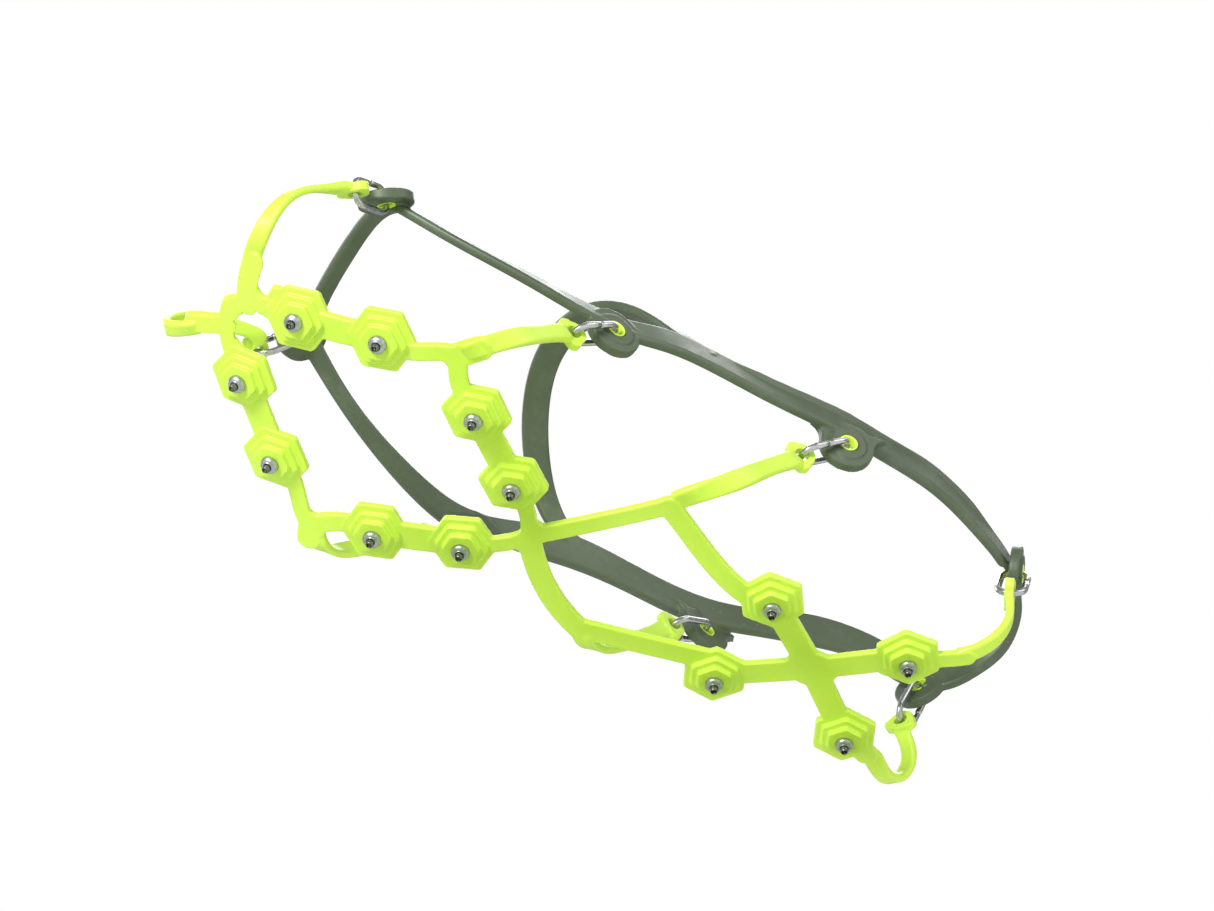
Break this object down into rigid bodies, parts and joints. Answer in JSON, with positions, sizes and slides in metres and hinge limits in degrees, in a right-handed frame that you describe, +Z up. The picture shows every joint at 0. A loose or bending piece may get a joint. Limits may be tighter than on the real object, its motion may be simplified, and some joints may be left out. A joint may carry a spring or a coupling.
{
  "type": "microspikes",
  "caption": "Slip-on ice cleats for one shoe: a bright flexible sole web with stepped bosses and carbide-tipped studs, joined by steel wire links to an elastic harness round the upper.",
  "frame": {"origin": "on the ground under the middle of the part, spike tips of the flat part at Z = 0", "axes": "+X to the toe, +Y to the wearer's left (inner side of a right shoe), +Z up through the shoe"},
  "size_m": [0.2988, 0.1103, 0.1028],
  "materials": {
    "web_tpu": "satin moulded TPU, bright yellow-green",
    "harness_elastomer": "satin moulded elastomer, dark olive green",
    "eyelet_tpu": "satin moulded TPU, bright yellow-green",
    "stud_aluminium": "turned, lightly worn",
    "pin_carbide": "sintered tungsten carbide, dark grey",
    "link_steel": "polished stainless wire"
  },
  "bodies": {
    "web": {"sole_web": "web_tpu", "toe_stud_inner": "stud_aluminium", "toe_stud_outer": "stud_aluminium", "front_stud_inner": "stud_aluminium", "front_stud_outer": "stud_aluminium", "ball_stud_inner": "stud_aluminium", "ball_stud_outer": "stud_aluminium", "arch_stud_inner": "stud_aluminium", "arch_stud_outer": "stud_aluminium", "heel_front_stud_inner": "stud_aluminium", "heel_front_stud_outer": "stud_aluminium", "heel_rear_stud_inner": "stud_aluminium", "heel_rear_stud_outer": "stud_aluminium", "toe_pin_inner": "pin_carbide", "toe_pin_outer": "pin_carbide", "front_pin_inner": "pin_carbide", "front_pin_outer": "pin_carbide", "ball_pin_inner": "pin_carbide", "ball_pin_outer": "pin_carbide", "arch_pin_inner": "pin_carbide", "arch_pin_outer": "pin_carbide", "heel_front_pin_inner": "pin_carbide", "heel_front_pin_outer": "pin_carbide", "heel_rear_pin_inner": "pin_carbide", "heel_rear_pin_outer": "pin_carbide"},
    "harness": {"harness": "harness_elastomer", "toe_eyelet_inner": "eyelet_tpu", "toe_eyelet_outer": "eyelet_tpu", "ball_eyelet_inner": "eyelet_tpu", "ball_eyelet_outer": "eyelet_tpu", "waist_eyelet_inner": "eyelet_tpu", "waist_eyelet_outer": "eyelet_tpu", "heel_eyelet_inner": "eyelet_tpu", "heel_eyelet_outer": "eyelet_tpu"},
    "toe_link_inner": {"toe_link_inner": "link_steel"},
    "toe_link_outer": {"toe_link_outer": "link_steel"},
    "ball_link_inner": {"ball_link_inner": "link_steel"},
    "ball_link_outer": {"ball_link_outer": "link_steel"},
    "waist_link_inner": {"waist_link_inner": "link_steel"},
    "waist_link_outer": {"waist_link_outer": "link_steel"},
    "heel_link_inner": {"heel_link_inner": "link_steel"},
    "heel_link_outer": {"heel_link_outer": "link_steel"}
  },
  "joints": [
    {"name": "harness_slack", "type": "slide", "parent": "web", "child": "harness", "axis": [0, 0, 1], "range_m": [-0.0008, 0]},
    {"name": "toe_link_inner_roll", "type": "hinge", "parent": "web", "child": "toe_link_inner", "pos_m": [0.10765, 0.039, 0.0764], "axis": [-0.7217, -0.341, 0.6024], "range_deg": [-10, 10]},
    {"name": "toe_link_outer_roll", "type": "hinge", "parent": "web", "child": "toe_link_outer", "pos_m": [0.10765, -0.0282, 0.0764], "axis": [-0.7217, 0.341, 0.6024], "range_deg": [-10, 10]},
    {"name": "ball_link_inner_roll", "type": "hinge", "parent": "web", "child": "ball_link_inner", "pos_m": [0.03187, 0.04845, 0.04549], "axis": [-0.799, -0.0283, 0.6007], "range_deg": [-10, 10]},
    {"name": "ball_link_outer_roll", "type": "hinge", "parent": "web", "child": "ball_link_outer", "pos_m": [0.03187, -0.0471, 0.04549], "axis": [-0.799, 0.0283, 0.6007], "range_deg": [-10, 10]},
    {"name": "waist_link_inner_roll", "type": "hinge", "parent": "web", "child": "waist_link_inner", "pos_m": [-0.05382, 0.04399, 0.04608], "axis": [-0.8087, 0.2262, 0.5429], "range_deg": [-10, 10]},
    {"name": "waist_link_outer_roll", "type": "hinge", "parent": "web", "child": "waist_link_outer", "pos_m": [-0.05382, -0.04399, 0.04608], "axis": [-0.8087, -0.2262, 0.5429], "range_deg": [-10, 10]},
    {"name": "heel_link_inner_roll", "type": "hinge", "parent": "web", "child": "heel_link_inner", "pos_m": [-0.1322, 0.03145, 0.0415], "axis": [-0.2955, -0.2103, 0.9319], "range_deg": [-10, 10]},
    {"name": "heel_link_outer_roll", "type": "hinge", "parent": "web", "child": "heel_link_outer", "pos_m": [-0.1322, -0.03145, 0.0415], "axis": [-0.2955, 0.2103, 0.9319], "range_deg": [-10, 10]}
  ]
}
